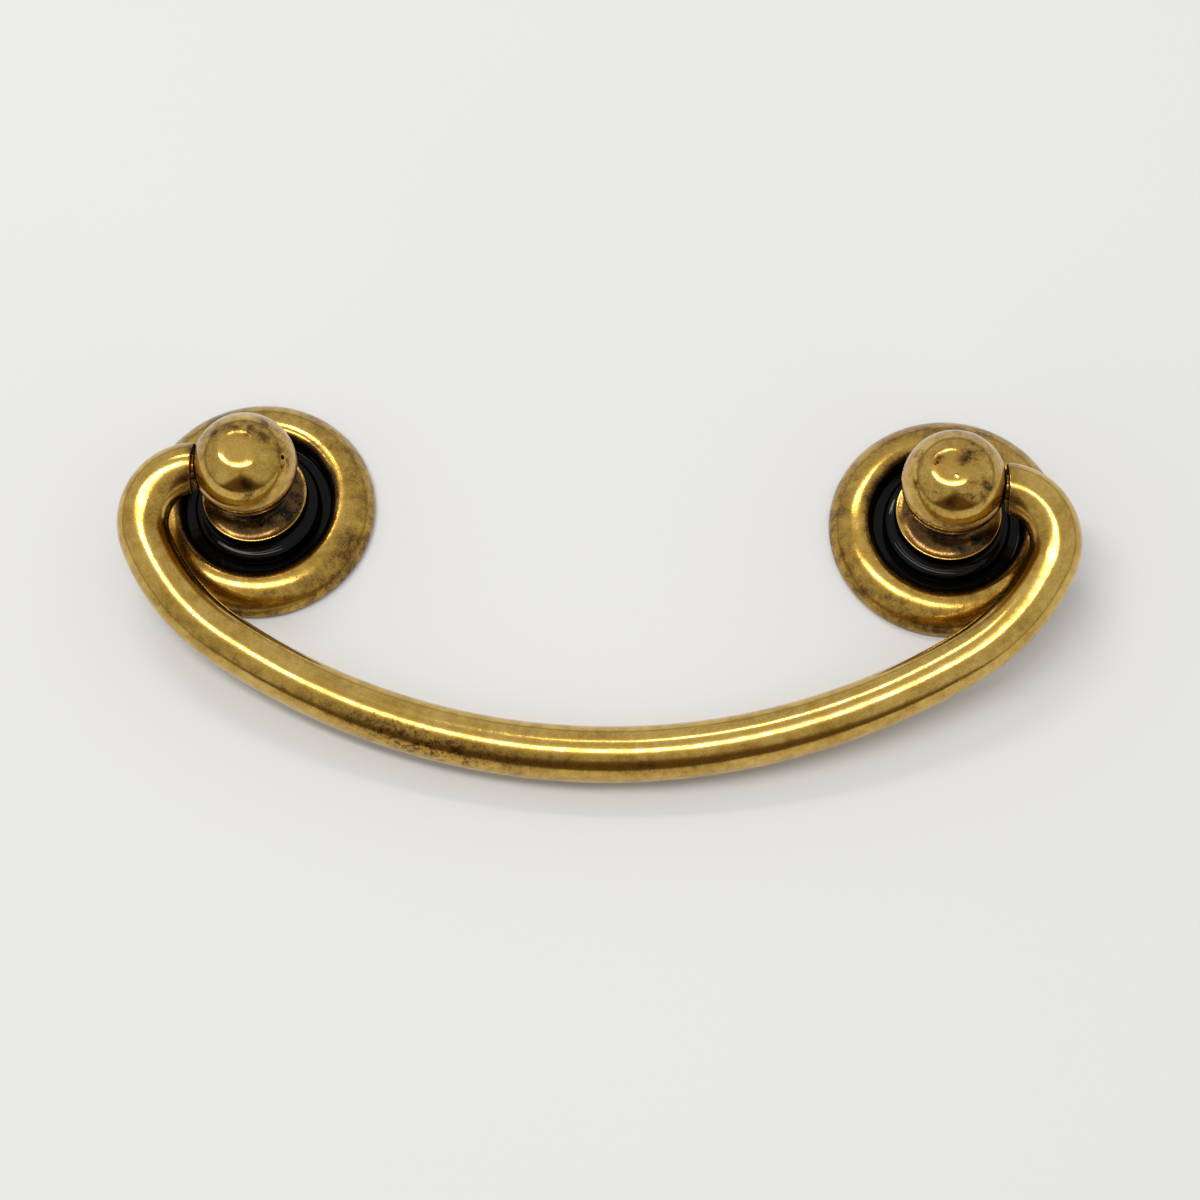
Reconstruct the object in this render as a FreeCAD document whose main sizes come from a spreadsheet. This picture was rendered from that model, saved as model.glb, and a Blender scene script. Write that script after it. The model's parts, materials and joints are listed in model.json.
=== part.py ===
import FreeCAD, Part

import enum
import math
import os

import Sketcher

# Bail pull: two ball-headed posts on dished rosettes, and a bent bail that swings between the balls.
# Frame, in millimetres: X runs through both posts, Z stands out of the mounting face at Z = 0,
# and the bail rests towards -Y. The origin is midway between the two screw holes.

SIZES = (
    ("hole_spacing", 76.2, "between the axes of the two posts"),
    ("screw_bore_radius", 1.65, "tapping size of the fixing screw"),
    ("screw_bore_roof", 0.8, "metal between the bore's point and the pivot hole"),
    ("drill_point_angle", 118, "included angle at the bore's end, in degrees"),
    ("rosette_sheet", 1.0, "thickness of the pressed rosette"),
    ("rosette_radius", 12.9, "outside of the rosette"),
    ("dish_margin", 1.1, "flat of the dish that shows round the post's foot"),
    ("roll_height", 3.3, "crest of the rosette's roll"),
    ("roll_inner_radius", 1.3, "quick inner side of that roll"),
    ("rim_edge_radius", 0.6, "rounding of the rosette's outer edge"),
    ("rim_land", 0.3, "flat ring under that edge"),
    ("spigot_radius", 3.0, "shank of the post in the rosette"),
    ("spigot_clearance", 0.1, "between the shank and the rosette's hole"),
    ("foot_radius", 7.0, "widest part of the post"),
    ("foot_edge_radius", 0.9, "half-round edge of the foot"),
    ("scotia_height", 1.85, "hollow between foot and collar"),
    ("scotia_depth", 0.45, "how far that hollow goes in"),
    ("collar_radius", 5.74, "thin collar under the ball"),
    ("collar_edge", 0.35, "thickness of the collar's edge"),
    ("neck_radius", 3.6, "neck under the ball"),
    ("neck_length", 1.0, "straight part of the neck"),
    ("ball_radius", 5.62, "ball at the head of the post"),
    ("pivot_drop", 0.96, "pivot below the middle of the ball"),
    ("pin_radius", 1.5, "pin at each end of the bail"),
    ("pin_clearance", 0.06, "between a pin and its hole, all round"),
    ("pin_length", 4.4, "from the bail's shoulder to the pin's end"),
    ("pin_chamfer", 0.3, "bevel at the pin's end"),
    ("pin_end_gap", 0.4, "between the pin's end and the bottom of its hole"),
    ("shoulder_gap", 0.08, "between the bail's shoulder and the ball"),
    ("bail_reach", 29.87, "from the pivot to the middle of the grip"),
    ("grip_radius", 3.04, "bail at the middle of the grip"),
    ("bail_end_radius", 2.75, "bail at its shoulders"),
    ("shoulder_bend_radius", 22.5, "bend between the grip and the side of the bail"),
    ("end_bend_radius", 5.9, "bend that brings each end in to the ball"),
    ("end_bend_angle", 113.4, "turn of that bend, in degrees"),
    ("end_facing", 0.6, "cut off each end to square its shoulder"),
    ("rest_gap", 0.15, "between the resting bail and the mounting face"),
)

# Heights and radii that follow from the sizes above
BORE_RADIUS = "(Sizes.spigot_radius + Sizes.spigot_clearance)"
DISH_RADIUS = "(Sizes.foot_radius + Sizes.dish_margin)"
CREST_RADIUS = f"({DISH_RADIUS} + Sizes.roll_inner_radius)"
RIM_CENTRE = "(Sizes.rosette_radius - Sizes.rim_edge_radius)"
ROLL_WIDTH = f"({RIM_CENTRE} - {CREST_RADIUS})"
# The slow outer side of the roll is level at its crest and tangent to the rounded edge
ROLL_OUTER_RADIUS = (
    f"({ROLL_WIDTH}^2 / (2 * (Sizes.roll_height - 2 * Sizes.rim_edge_radius)) + Sizes.roll_height / 2)"
)
ROLL_LEAN = f"({ROLL_OUTER_RADIUS} / ({ROLL_OUTER_RADIUS} - Sizes.rim_edge_radius))"
ROLL_END_RADIUS = f"({CREST_RADIUS} + {ROLL_WIDTH} * {ROLL_LEAN})"
ROLL_SPRING = f"(Sizes.roll_height - {ROLL_OUTER_RADIUS})"
ROLL_END_HEIGHT = f"({ROLL_SPRING} + (Sizes.rim_edge_radius - {ROLL_SPRING}) * {ROLL_LEAN})"
INNER_SPRING = "(Sizes.roll_height - Sizes.roll_inner_radius)"
INNER_CHANNEL = "(Sizes.roll_inner_radius - Sizes.rosette_sheet)"
CHANNEL_TOP = "(Sizes.roll_height - Sizes.rosette_sheet)"
CHANNEL_END = f"({RIM_CENTRE} - Sizes.rim_land)"
OUTER_CHANNEL = f"((({CHANNEL_END} - {CREST_RADIUS})^2 + {CHANNEL_TOP}^2) / (2 * {CHANNEL_TOP}))"

FOOT_CENTRE = "(Sizes.foot_radius - Sizes.foot_edge_radius)"
FOOT_TOP = "(Sizes.rosette_sheet + 2 * Sizes.foot_edge_radius)"
COLLAR_UNDER = f"({FOOT_TOP} + Sizes.scotia_height)"
COLLAR_TOP = f"({COLLAR_UNDER} + Sizes.collar_edge)"
COVE_RADIUS = "(Sizes.collar_radius - Sizes.neck_radius)"
SCOTIA_RADIUS = (
    f"((({FOOT_CENTRE} - Sizes.collar_radius)^2 + Sizes.scotia_height^2) / 4 + Sizes.scotia_depth^2)"
    " / (2 * Sizes.scotia_depth)"
)
NECK_START = f"({COLLAR_TOP} + {COVE_RADIUS})"
NECK_END = f"({NECK_START} + Sizes.neck_length)"
BALL_HEIGHT = f"({NECK_END} + sqrt(Sizes.ball_radius^2 - Sizes.neck_radius^2))"
PIVOT_HEIGHT = f"({BALL_HEIGHT} - Sizes.pivot_drop)"
PIN_HOLE_RADIUS = "(Sizes.pin_radius + Sizes.pin_clearance)"
BORE_POINT = f"({PIVOT_HEIGHT} - {PIN_HOLE_RADIUS} - Sizes.screw_bore_roof)"
BORE_LENGTH = f"({BORE_POINT} - Sizes.screw_bore_radius / tan(Sizes.drill_point_angle / 2))"

SHOULDER_FROM_POST = "(Sizes.ball_radius + Sizes.shoulder_gap)"
SHOULDER_X = f"(Sizes.hole_spacing / 2 + {SHOULDER_FROM_POST})"
PIN_TIP_X = f"({SHOULDER_X} - Sizes.pin_length)"
HOLE_FLOOR = f"({SHOULDER_FROM_POST} - Sizes.pin_length - Sizes.pin_end_gap)"
BEND_X = f"({SHOULDER_X} - Sizes.end_facing)"
REST_ANGLE = f"asin(({PIVOT_HEIGHT} - Sizes.grip_radius - Sizes.rest_gap) / Sizes.bail_reach)"

FULL_TURN = 360
ORIGIN, X_AXIS, Y_AXIS = (-1, 1), -1, -2


class Spot(enum.IntEnum):
    """The sketcher's numbers for the points of a line or an arc."""
    START = 1
    END = 2
    CENTRE = 3


doc = FreeCAD.newDocument("bail_pull")


def make_sheet():
    """The driving dimensions, one row each: what it is, its value, and the alias that names it."""
    sheet = doc.addObject("Spreadsheet::Sheet", "Sizes")
    for row, (alias, value, meaning) in enumerate(SIZES, start=1):
        sheet.set(f"A{row}", meaning)
        sheet.set(f"B{row}", str(value))
        sheet.setAlias(f"B{row}", alias)
    doc.recompute()
    return sheet


sizes = make_sheet()


def value(expression):
    """The number that an expression of the sheet comes to."""
    result = sizes.evalExpression(str(expression))
    return float(getattr(result, "Value", result))


def new_body(label):
    body = doc.addObject("PartDesign::Body", label)
    body.Label = label
    return body


def new_sketch(body, name, plane_role, offset=None):
    """A sketch on one of the body's own origin planes, moved along its normal by an expression."""
    plane = next(item for item in body.Origin.OriginFeatures if item.Role == plane_role)
    sketch = body.newObject("Sketcher::SketchObject", name)
    sketch.AttachmentSupport = [(plane, "")]
    sketch.MapMode = "FlatFace"
    if offset:
        sketch.setExpression("AttachmentOffset.Base.z", offset)
    return sketch


def drive(sketch, kind, *arguments):
    """Add a dimension whose value is the expression given last."""
    *where, expression = arguments
    amount = value(expression)
    if kind == "Angle":
        amount = math.radians(amount)
    index = sketch.addConstraint(Sketcher.Constraint(kind, *where, amount))
    sketch.setExpression(f"Constraints[{index}]", str(expression))


def pin_point(sketch, geometry, position, place):
    """Hold a point at two expressions; a zero puts it on the axis."""
    across, up = place
    if across == 0:
        sketch.addConstraint(Sketcher.Constraint("PointOnObject", geometry, position, Y_AXIS))
    else:
        drive(sketch, "DistanceX", *ORIGIN, geometry, position, across)
    if up == 0:
        sketch.addConstraint(Sketcher.Constraint("PointOnObject", geometry, position, X_AXIS))
    else:
        drive(sketch, "DistanceY", *ORIGIN, geometry, position, up)


def arc_between(start, end, radius, bulge):
    """The shorter arc from start to end; bulge is +1 to pass left of the way there, -1 to pass right."""
    chord = end - start
    left = FreeCAD.Vector(-chord.y, chord.x, 0).normalize()
    sagitta = radius - math.sqrt(radius ** 2 - (chord.Length / 2) ** 2)
    middle = start + chord / 2 + left * bulge * sagitta
    return Part.Arc(start, middle, end)


def closed_profile(sketch, outline):
    """Draw a closed outline. Each entry is a point and the way on to the next: None for a line, or
    (radius, bulge) for an arc."""
    spots = [FreeCAD.Vector(value(place[0]), value(place[1]), 0) for place, way in outline]
    firsts = []
    for index, (place, way) in enumerate(outline):
        start, end = spots[index], spots[(index + 1) % len(outline)]
        if way is None:
            geometry = sketch.addGeometry(Part.LineSegment(start, end))
            firsts.append((geometry, Spot.START, Spot.END))
            continue
        radius, bulge = way
        geometry = sketch.addGeometry(arc_between(start, end, value(radius), bulge))
        drive(sketch, "Radius", geometry, radius)
        # A sketch keeps its arcs counter-clockwise, so one that bulges left is stored end first
        firsts.append((geometry, Spot.END, Spot.START) if bulge > 0 else (geometry, Spot.START, Spot.END))
    for index, (geometry, first, last) in enumerate(firsts):
        following, following_first = firsts[(index + 1) % len(firsts)][:2]
        sketch.addConstraint(Sketcher.Constraint("Coincident", geometry, last, following, following_first))
        pin_point(sketch, geometry, first, outline[index][0])


def revolve(body, kind, name, sketch, axis="V_Axis"):
    """A Revolution or a Groove all the way round an axis of its sketch."""
    feature = body.newObject(kind, name)
    feature.Profile = sketch
    feature.ReferenceAxis = (sketch, [axis])
    feature.Angle = FULL_TURN
    doc.recompute()
    return feature


def place_on_axis(body, side):
    """Stand a body on its screw hole; the left one is turned half round."""
    turn = FreeCAD.Rotation(FreeCAD.Vector(0, 0, 1), 0 if side > 0 else FULL_TURN / 2)
    body.Placement = FreeCAD.Placement(FreeCAD.Vector(0, 0, 0), turn)
    body.setExpression("Placement.Base.x", f"{side} * Sizes.hole_spacing / 2")


def make_rosette(label, side):
    """Pressed backplate: flat dish, roll with a quick inner and a slow outer side, hollow back."""
    body = new_body(label)
    sketch = new_sketch(body, f"{label}_section", "XZ_Plane")
    inner_wall = f"({CREST_RADIUS} - {INNER_CHANNEL})"
    edge = "Sizes.rim_edge_radius"
    closed_profile(sketch, (
        ((BORE_RADIUS, 0), None),
        ((inner_wall, 0), None),
        ((inner_wall, INNER_SPRING), (INNER_CHANNEL, 1)),
        ((CREST_RADIUS, CHANNEL_TOP), (OUTER_CHANNEL, 1)),
        ((CHANNEL_END, 0), None),
        ((RIM_CENTRE, 0), (edge, -1)),
        (("Sizes.rosette_radius", edge), (edge, -1)),
        ((ROLL_END_RADIUS, ROLL_END_HEIGHT), (ROLL_OUTER_RADIUS, -1)),
        ((CREST_RADIUS, "Sizes.roll_height"), ("Sizes.roll_inner_radius", -1)),
        ((DISH_RADIUS, INNER_SPRING), None),
        ((DISH_RADIUS, "Sizes.rosette_sheet"), None),
        ((BORE_RADIUS, "Sizes.rosette_sheet"), None),
    ))
    revolve(body, "PartDesign::Revolution", f"{label}_turned", sketch)
    place_on_axis(body, side)
    return body


def make_post(label, side):
    """Turned post: spigot, foot, scotia, collar, cove, neck and ball, bored from below and from its side."""
    body = new_body(label)
    sketch = new_sketch(body, f"{label}_section", "XZ_Plane")
    foot_edge = "Sizes.foot_edge_radius"
    foot_middle = f"(Sizes.rosette_sheet + {foot_edge})"
    ball_top = f"({BALL_HEIGHT} + Sizes.ball_radius)"
    closed_profile(sketch, (
        ((0, 0), None),
        (("Sizes.spigot_radius", 0), None),
        (("Sizes.spigot_radius", "Sizes.rosette_sheet"), None),
        ((FOOT_CENTRE, "Sizes.rosette_sheet"), (foot_edge, -1)),
        (("Sizes.foot_radius", foot_middle), (foot_edge, -1)),
        ((FOOT_CENTRE, FOOT_TOP), (SCOTIA_RADIUS, 1)),
        (("Sizes.collar_radius", COLLAR_UNDER), None),
        (("Sizes.collar_radius", COLLAR_TOP), (COVE_RADIUS, 1)),
        (("Sizes.neck_radius", NECK_START), None),
        (("Sizes.neck_radius", NECK_END), ("Sizes.ball_radius", -1)),
        (("Sizes.ball_radius", BALL_HEIGHT), ("Sizes.ball_radius", -1)),
        ((0, ball_top), None),
    ))
    revolve(body, "PartDesign::Revolution", f"{label}_turned", sketch)

    bore = new_sketch(body, f"{label}_bore_section", "XZ_Plane")
    closed_profile(bore, (
        ((0, 0), None),
        (("Sizes.screw_bore_radius", 0), None),
        (("Sizes.screw_bore_radius", BORE_LENGTH), None),
        ((0, BORE_POINT), None),
    ))
    revolve(body, "PartDesign::Groove", f"{label}_screw_bore", bore)

    ring = new_sketch(body, f"{label}_pivot_circle", "YZ_Plane", HOLE_FLOOR)
    draw_circle(ring, (0, PIVOT_HEIGHT), PIN_HOLE_RADIUS)
    pocket = body.newObject("PartDesign::Pocket", f"{label}_pivot_hole")
    pocket.Profile = ring
    pocket.Reversed = True
    pocket.setExpression("Length", "Sizes.ball_radius")
    doc.recompute()
    place_on_axis(body, side)
    return body


def draw_circle(sketch, place, radius):
    spot = FreeCAD.Vector(value(place[0]), value(place[1]), 0)
    circle = sketch.addGeometry(Part.Circle(spot, FreeCAD.Vector(0, 0, 1), value(radius)))
    drive(sketch, "Radius", circle, radius)
    pin_point(sketch, circle, Spot.CENTRE, place)


def draw_bail_path(sketch):
    """Half of the bail's middle line: bow, shoulder bend and end bend, each tangent to the next.

    Across is the pull's X, up is the distance from the pivot. The bow's radius follows from the rest.
    """
    reach = value("Sizes.bail_reach")
    shoulder, end = value("Sizes.shoulder_bend_radius"), value("Sizes.end_bend_radius")
    heading = math.pi - math.radians(value("Sizes.end_bend_angle"))
    end_centre = FreeCAD.Vector(value(BEND_X), end, 0)
    toward = FreeCAD.Vector(math.sin(heading), math.cos(heading), 0)
    shoulder_centre = end_centre - toward * (shoulder - end)
    rise = reach - shoulder_centre.y
    bow = (shoulder_centre.x ** 2 + rise ** 2 - shoulder ** 2) / (2 * (rise - shoulder))
    bow_centre = FreeCAD.Vector(0, reach - bow, 0)
    bow_heading = math.atan2(shoulder_centre.x, shoulder_centre.y - bow_centre.y)

    def arc(centre, radius, first, last):
        """An arc that runs from one heading to the next; a sketch stores it last point first."""
        spots = []
        for angle in (last, (first + last) / 2, first):
            spots.append(centre + FreeCAD.Vector(math.sin(angle), math.cos(angle), 0) * radius)
        return sketch.addGeometry(Part.Arc(*spots))

    bow_arc = arc(bow_centre, bow, 0, bow_heading)
    shoulder_arc = arc(shoulder_centre, shoulder, bow_heading, heading)
    end_arc = arc(end_centre, end, heading, math.pi)
    sketch.addConstraint([
        Sketcher.Constraint("Tangent", bow_arc, Spot.START, shoulder_arc, Spot.END),
        Sketcher.Constraint("Tangent", shoulder_arc, Spot.START, end_arc, Spot.END),
        Sketcher.Constraint("PointOnObject", bow_arc, Spot.CENTRE, Y_AXIS),
        Sketcher.Constraint("Vertical", end_arc, Spot.START, end_arc, Spot.CENTRE),
    ])
    pin_point(sketch, bow_arc, Spot.END, (0, "Sizes.bail_reach"))
    pin_point(sketch, end_arc, Spot.START, (BEND_X, 0))
    drive(sketch, "Radius", shoulder_arc, "Sizes.shoulder_bend_radius")
    drive(sketch, "Radius", end_arc, "Sizes.end_bend_radius")
    drive(sketch, "Angle", end_arc, "Sizes.end_bend_angle")


def make_bail(label):
    """Tapered rod bent to the path, its ends faced square and turned down to pins, one half mirrored."""
    body = new_body(label)
    path = new_sketch(body, f"{label}_path", "XY_Plane")
    draw_bail_path(path)
    grip = new_sketch(body, f"{label}_grip_circle", "YZ_Plane")
    draw_circle(grip, ("Sizes.bail_reach", 0), "Sizes.grip_radius")
    end = new_sketch(body, f"{label}_end_circle", "YZ_Plane", BEND_X)
    draw_circle(end, (0, 0), "Sizes.bail_end_radius")
    doc.recompute()
    rod = body.newObject("PartDesign::AdditivePipe", f"{label}_rod")
    rod.Profile = grip
    rod.Spine = (path, ["Edge1", "Edge2", "Edge3"])
    rod.Sections = [(end, [""])]
    rod.Transformation = "Multisection"
    doc.recompute()

    facing = new_sketch(body, f"{label}_facing_circle", "YZ_Plane")
    draw_circle(facing, (0, 0), "2 * Sizes.bail_end_radius")
    faced = body.newObject("PartDesign::Pocket", f"{label}_facing")
    faced.Profile = facing
    faced.Reversed = True
    faced.setExpression("Length", SHOULDER_X)
    doc.recompute()

    pin = new_sketch(body, f"{label}_pin_section", "XY_Plane")
    root = f"({SHOULDER_X} + Sizes.end_facing)"
    closed_profile(pin, (
        ((PIN_TIP_X, 0), None),
        ((root, 0), None),
        ((root, "Sizes.pin_radius"), None),
        ((f"({PIN_TIP_X} + Sizes.pin_chamfer)", "Sizes.pin_radius"), None),
        ((PIN_TIP_X, "Sizes.pin_radius - Sizes.pin_chamfer"), None),
    ))
    turned = revolve(body, "PartDesign::Revolution", f"{label}_pin", pin, "H_Axis")

    whole = body.newObject("PartDesign::Mirrored", f"{label}_mirrored")
    whole.Originals = [rod, faced, turned]
    whole.MirrorPlane = (path, ["V_Axis"])
    body.Tip = whole
    doc.recompute()

    tilt = FreeCAD.Rotation(FreeCAD.Vector(1, 0, 0), FULL_TURN / 2 + value(REST_ANGLE))
    body.Placement = FreeCAD.Placement(FreeCAD.Vector(0, 0, 0), tilt)
    body.setExpression("Placement.Base.z", PIVOT_HEIGHT)
    body.setExpression("Placement.Rotation.Angle", f"{FULL_TURN / 2} deg + {REST_ANGLE}")
    return body


SIDES = (("left", -1), ("right", 1))
bodies = []
for name, side in SIDES:
    bodies.append(make_rosette(f"{name}_rosette", side))
    bodies.append(make_post(f"{name}_post", side))
bodies.append(make_bail("bail"))
doc.recompute()

for item in doc.Objects:
    if "Invalid" in item.State or "Error" in item.State:
        raise RuntimeError(f"{item.Label} did not compute: {item.State}")
for body in bodies:
    shape = body.Shape
    if shape.isNull() or not shape.isValid() or len(shape.Solids) != 1:
        raise RuntimeError(f"{body.Label} is not one valid solid")

os.makedirs("parts", exist_ok=True)
for body in bodies:
    body.Shape.exportStep(os.path.join("parts", f"{body.Label}.step"))
    box = body.Shape.optimalBoundingBox()
    print(f"{body.Label}: {body.Shape.Volume:.1f} mm3, X {box.XMin:.2f} to {box.XMax:.2f},"
          f" Y {box.YMin:.2f} to {box.YMax:.2f}, Z {box.ZMin:.2f} to {box.ZMax:.2f}")
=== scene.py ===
import json
import math

import bmesh
import bpy
import numpy as np
from mathutils import Matrix, Vector


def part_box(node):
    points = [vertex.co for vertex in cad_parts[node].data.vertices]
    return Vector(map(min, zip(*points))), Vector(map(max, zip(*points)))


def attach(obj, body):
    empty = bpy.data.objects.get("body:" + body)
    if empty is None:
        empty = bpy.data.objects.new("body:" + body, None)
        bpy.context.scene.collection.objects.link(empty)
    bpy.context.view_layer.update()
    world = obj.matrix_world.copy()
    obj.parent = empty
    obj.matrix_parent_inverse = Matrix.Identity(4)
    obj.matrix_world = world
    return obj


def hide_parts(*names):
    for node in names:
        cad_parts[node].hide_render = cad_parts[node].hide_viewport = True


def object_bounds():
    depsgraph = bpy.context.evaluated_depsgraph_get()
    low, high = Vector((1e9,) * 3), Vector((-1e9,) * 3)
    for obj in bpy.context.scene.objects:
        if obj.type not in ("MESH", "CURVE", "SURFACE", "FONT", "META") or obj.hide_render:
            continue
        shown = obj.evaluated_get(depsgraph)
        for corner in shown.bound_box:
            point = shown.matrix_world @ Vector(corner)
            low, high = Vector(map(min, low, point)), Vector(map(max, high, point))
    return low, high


bl_info = {
    "name": "Bail pull",
    "version": (1, 0, 0),
    "blender": (4, 5, 0),
    "location": "View3D > Sidebar > Bail pull",
    "description": "Dresses the packed frame of an antique brass bail pull",
    "category": "Object",
}

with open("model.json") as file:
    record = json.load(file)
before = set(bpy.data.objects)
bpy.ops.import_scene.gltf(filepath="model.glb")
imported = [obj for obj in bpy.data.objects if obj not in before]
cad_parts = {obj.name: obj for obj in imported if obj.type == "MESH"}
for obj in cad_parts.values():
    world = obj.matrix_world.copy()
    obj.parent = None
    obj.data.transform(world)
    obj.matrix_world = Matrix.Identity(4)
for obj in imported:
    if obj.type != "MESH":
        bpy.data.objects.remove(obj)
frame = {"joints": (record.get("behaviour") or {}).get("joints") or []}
CAD_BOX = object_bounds()

MM = 0.001
SIDES = ("left", "right")

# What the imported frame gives: axes, heights and widths of its pieces, in metres
POST_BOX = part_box("right_post")
ROSETTE_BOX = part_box("right_rosette")
BAIL_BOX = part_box("bail")
PIVOT_HEIGHT = frame["joints"][0]["pos_m"][2]
POST_AXIS = (POST_BOX[0].x + POST_BOX[1].x) / 2
FLOOR_HEIGHT = CAD_BOX[0].z


def length(name, value, description):
    """A size that a user may change, held in metres."""
    return bpy.props.FloatProperty(
        name=name, description=description, default=value, min=0, unit="LENGTH", precision=5)


def share(name, value, description):
    """A number from 0 to 1."""
    return bpy.props.FloatProperty(
        name=name, description=description, default=value, min=0, max=1, subtype="FACTOR")


def count(name, value, description):
    return bpy.props.IntProperty(name=name, description=description, default=value, min=8)


def angle(name, value, description):
    return bpy.props.FloatProperty(
        name=name, description=description, default=math.radians(value), subtype="ANGLE")


def colour(name, value, description):
    return bpy.props.FloatVectorProperty(
        name=name, description=description, default=value, min=0, max=1, size=3, subtype="COLOR")


class RosetteSizes(bpy.types.PropertyGroup):
    """Sizes of the pressed rosettes"""
    radius: length("Radius", (ROSETTE_BOX[1].y - ROSETTE_BOX[0].y) / 2, "Outside of the rim")
    height: length("Height", ROSETTE_BOX[1].z, "Crest of the roll above the mounting face")
    sheet: length("Sheet", 1.0 * MM, "Thickness of the pressed sheet")
    hole: length("Hole radius", 3.1 * MM, "Hole for the post's spigot")
    dish: length("Dish radius", 8.1 * MM, "Flat dish inside the roll")
    roll: length("Roll radius", 1.3 * MM, "Quick inner side of the roll, which falls into the dish")
    edge: length("Edge radius", 0.6 * MM, "Rounding of the rim, where the roll's slow outer side ends")
    land: length("Land", 0.3 * MM, "Flat ring under that rounding")
    softness: length("Softness", 0.10 * MM, "How far the pressed corners are rounded")


class PostSizes(bpy.types.PropertyGroup):
    """Sizes of the turned posts"""
    axis: length("Axis", POST_AXIS, "Distance of each post from the middle of the pull")
    ball: length("Ball radius", 5.62 * MM, "Ball at the head")
    crown: length("Crown radius", 2.0 * MM, "Worn flat on top of the ball")
    crown_blend: length("Crown blend", 0.25 * MM, "Depth over which that flat blends into the ball")
    neck: length("Neck radius", 3.6 * MM, "Neck under the ball")
    neck_length: length("Neck length", 1.0 * MM, "Straight part of the neck")
    collar: length("Collar radius", 5.74 * MM, "Thin collar under the neck")
    collar_edge: length("Collar edge", 0.35 * MM, "Thickness of the collar's edge")
    scotia_height: length("Scotia height", 1.85 * MM, "Hollow between foot and collar")
    scotia_depth: length("Scotia depth", 0.45 * MM, "How far that hollow goes in")
    foot: length("Foot radius", (POST_BOX[1].y - POST_BOX[0].y) / 2, "Widest part of the post")
    foot_edge: length("Foot edge radius", 0.9 * MM, "Half-round edge of the foot")
    spigot: length("Spigot radius", 3.0 * MM, "Shank in the rosette")
    bore: length("Bore radius", 1.65 * MM, "Screw hole from below")
    bore_depth: length("Bore depth", 8.14 * MM, "Screw hole up to its point")
    bore_point: length("Bore point", 0.99 * MM, "Cone at the end of the screw hole")
    pin_hole: length("Pin hole radius", 1.56 * MM, "Cross hole in the ball")
    pin_hole_floor: length("Pin hole floor", 0.90 * MM, "From the post's axis to the end of the cross hole")
    pit: length("Pit radius", 0.28 * MM, "Small casting pits in the balls")
    softness: length("Softness", 0.07 * MM, "How far the turned corners are rounded")


class BailSizes(bpy.types.PropertyGroup):
    """Sizes of the bent bail"""
    reach: length("Reach", 29.87 * MM, "From the pivot to the middle of the grip")
    grip: length("Grip radius", 3.04 * MM, "Rod at the middle of the grip")
    end: length("End radius", 2.75 * MM, "Rod at its shoulders")
    shoulder_bend: length("Shoulder bend", 22.5 * MM, "Bend between the grip and the side")
    end_bend: length("End bend", 5.9 * MM, "Bend that brings each end in to the ball")
    end_turn: angle("End turn", 113.4, "Turn of the end bend")
    facing: length("Facing", 0.6 * MM, "Cut off each end to square its shoulder")
    shoulder_gap: length("Shoulder gap", 0.08 * MM, "Between the shoulder and the ball")
    shoulder_edge: length("Shoulder edge", 0.14 * MM, "Rounding of the shoulder's edge")
    squaring: length("Squaring", 1.0 * MM, "Stretch over which the rod turns into its square end")
    pin: length("Pin radius", 1.5 * MM, "Pin in the ball's cross hole")
    pin_length: length("Pin length", 4.4 * MM, "From the shoulder to the pin's end")
    pin_chamfer: length("Pin chamfer", 0.3 * MM, "Bevel at the pin's end")
    sides: count("Sides", 72, "Faces round the rod")


class BrassFinish(bpy.types.PropertyGroup):
    """Colours of the antique brass"""
    rubbed: colour("Rubbed brass", (0.68, 0.450, 0.112), "Brass on the high places")
    toned: colour("Toned brass", (0.45, 0.268, 0.045), "Brass under a thin patina")
    # Brown also paints the shade in the cove under the ball and the dark reflection along the bail's grip
    brown: colour("Brown brass", (0.138, 0.068, 0.015), "Patina in the shallow places")
    black: colour("Black", (0.0040, 0.0034, 0.0030), "Blackening left in the recesses")
    lacquer: share("Lacquer", 0.26, "Clear coat over everything")


class StageLook(bpy.types.PropertyGroup):
    """Floor and light"""
    floor: colour("Floor", (0.73, 0.733, 0.73), "Pale floor")
    room: share("Room light", 0.66, "Level of the light from above and all round")
    horizon: share("Horizon", 0.45, "Share of that light that is left at floor level")
    front: colour("Front", (0.24, 0.15, 0.09), "What is left of it low down on the viewer's side")


def settings():
    return bpy.context.scene.bail_pull


# Outlines: lists of (radius, height, tone), where tone goes from 0, rubbed bright, to 1, black. The tone is
# mostly patina, but in places it paints shade, a highlight and a dark reflection

# How finely an outline is drawn, softened, thinned and turned
ARC_STEP = math.radians(2)
OUTLINE_STEP = 0.03 * MM
LEAST_POINTS = 8
SOFT_REACH = 3
THINNING = 0.0008 * MM
LONGEST_CHORD = 40 * OUTLINE_STEP
SHORTEST_CHORD = 1e-9
LATHE_SEGMENTS = 168
CREASE = math.radians(40)

# Tarnish of the places that nobody sees and of the blackened ones
HIDDEN_TONE = 0.5
BLACKENED = 1.3


def run(*points, patina_and_painted_light):
    """Straight runs through these points, all at one tarnish."""
    return [(radius, height, patina_and_painted_light) for radius, height in points]


def arc(centre, radius, first, last, patina_and_painted_light):
    """Points round a centre from one angle to another in degrees, at one tarnish or going to another."""
    start, end = (patina_and_painted_light, patina_and_painted_light) if isinstance(patina_and_painted_light, (int, float)) else patina_and_painted_light
    first, last = math.radians(first), math.radians(last)
    steps = max(2, math.ceil(abs(last - first) / ARC_STEP))
    points = []
    for step in range(steps + 1):
        part = step / steps
        turn = first + (last - first) * part
        points.append((
            centre[0] + radius * math.cos(turn),
            centre[1] + radius * math.sin(turn),
            start + (end - start) * part))
    return points


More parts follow.
